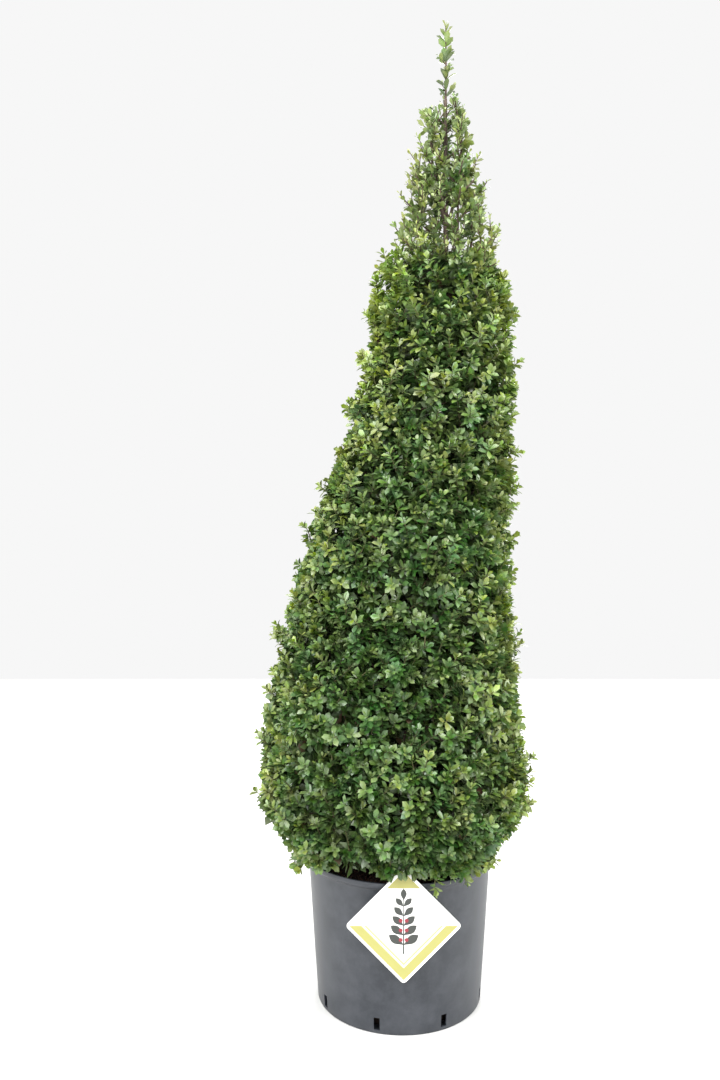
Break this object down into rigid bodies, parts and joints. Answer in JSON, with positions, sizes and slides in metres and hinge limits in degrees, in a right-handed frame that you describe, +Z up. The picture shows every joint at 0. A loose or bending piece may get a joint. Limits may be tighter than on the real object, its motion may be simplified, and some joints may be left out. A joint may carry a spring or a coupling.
{
  "type": "potted japanese holly",
  "caption": "Clipped, leaning spire of small-leaved holly with an open leafy tip and a thin leader, growing in a round black nursery pot with a square hang-on label.",
  "frame": {"origin": "centre of the pot's flat underside", "axes": "+Z up through the plant, -Y to the front where the label hangs, +X to the side the top leans to"},
  "size_m": [0.5137, 0.5119, 1.6924],
  "materials": {
    "pot_plastic": "satin",
    "potting_mix": "matte",
    "label_card": "satin",
    "bark": "matte",
    "holly_leaves": "satin",
    "young_holly_leaves": "satin"
  },
  "bodies": {
    "root": {"pot": "pot_plastic", "soil": "potting_mix", "plant_label": "label_card", "trunk": "bark", "foliage_skirt_1": "holly_leaves", "foliage_skirt_2": "holly_leaves", "foliage_skirt_3": "holly_leaves", "foliage_skirt_4": "holly_leaves", "foliage_skirt_5": "holly_leaves", "foliage_low_1": "holly_leaves", "foliage_low_2": "holly_leaves", "foliage_low_3": "holly_leaves", "foliage_low_4": "holly_leaves", "foliage_middle_1": "holly_leaves", "foliage_middle_2": "holly_leaves", "foliage_middle_3": "holly_leaves", "foliage_middle_4": "holly_leaves", "foliage_high_1": "holly_leaves", "foliage_high_2": "holly_leaves", "foliage_high_3": "holly_leaves", "bough_lower_1": "bark", "spray_lower_1": "young_holly_leaves", "bough_lower_2": "bark", "spray_lower_2": "young_holly_leaves", "bough_lower_3": "bark", "spray_lower_3": "young_holly_leaves", "bough_lower_4": "bark", "spray_lower_4": "young_holly_leaves", "bough_upper_1": "bark", "spray_upper_1": "young_holly_leaves", "bough_upper_2": "bark", "spray_upper_2": "young_holly_leaves", "bough_upper_3": "bark", "spray_upper_3": "young_holly_leaves", "leader_spray": "young_holly_leaves"}
  },
  "joints": []
}
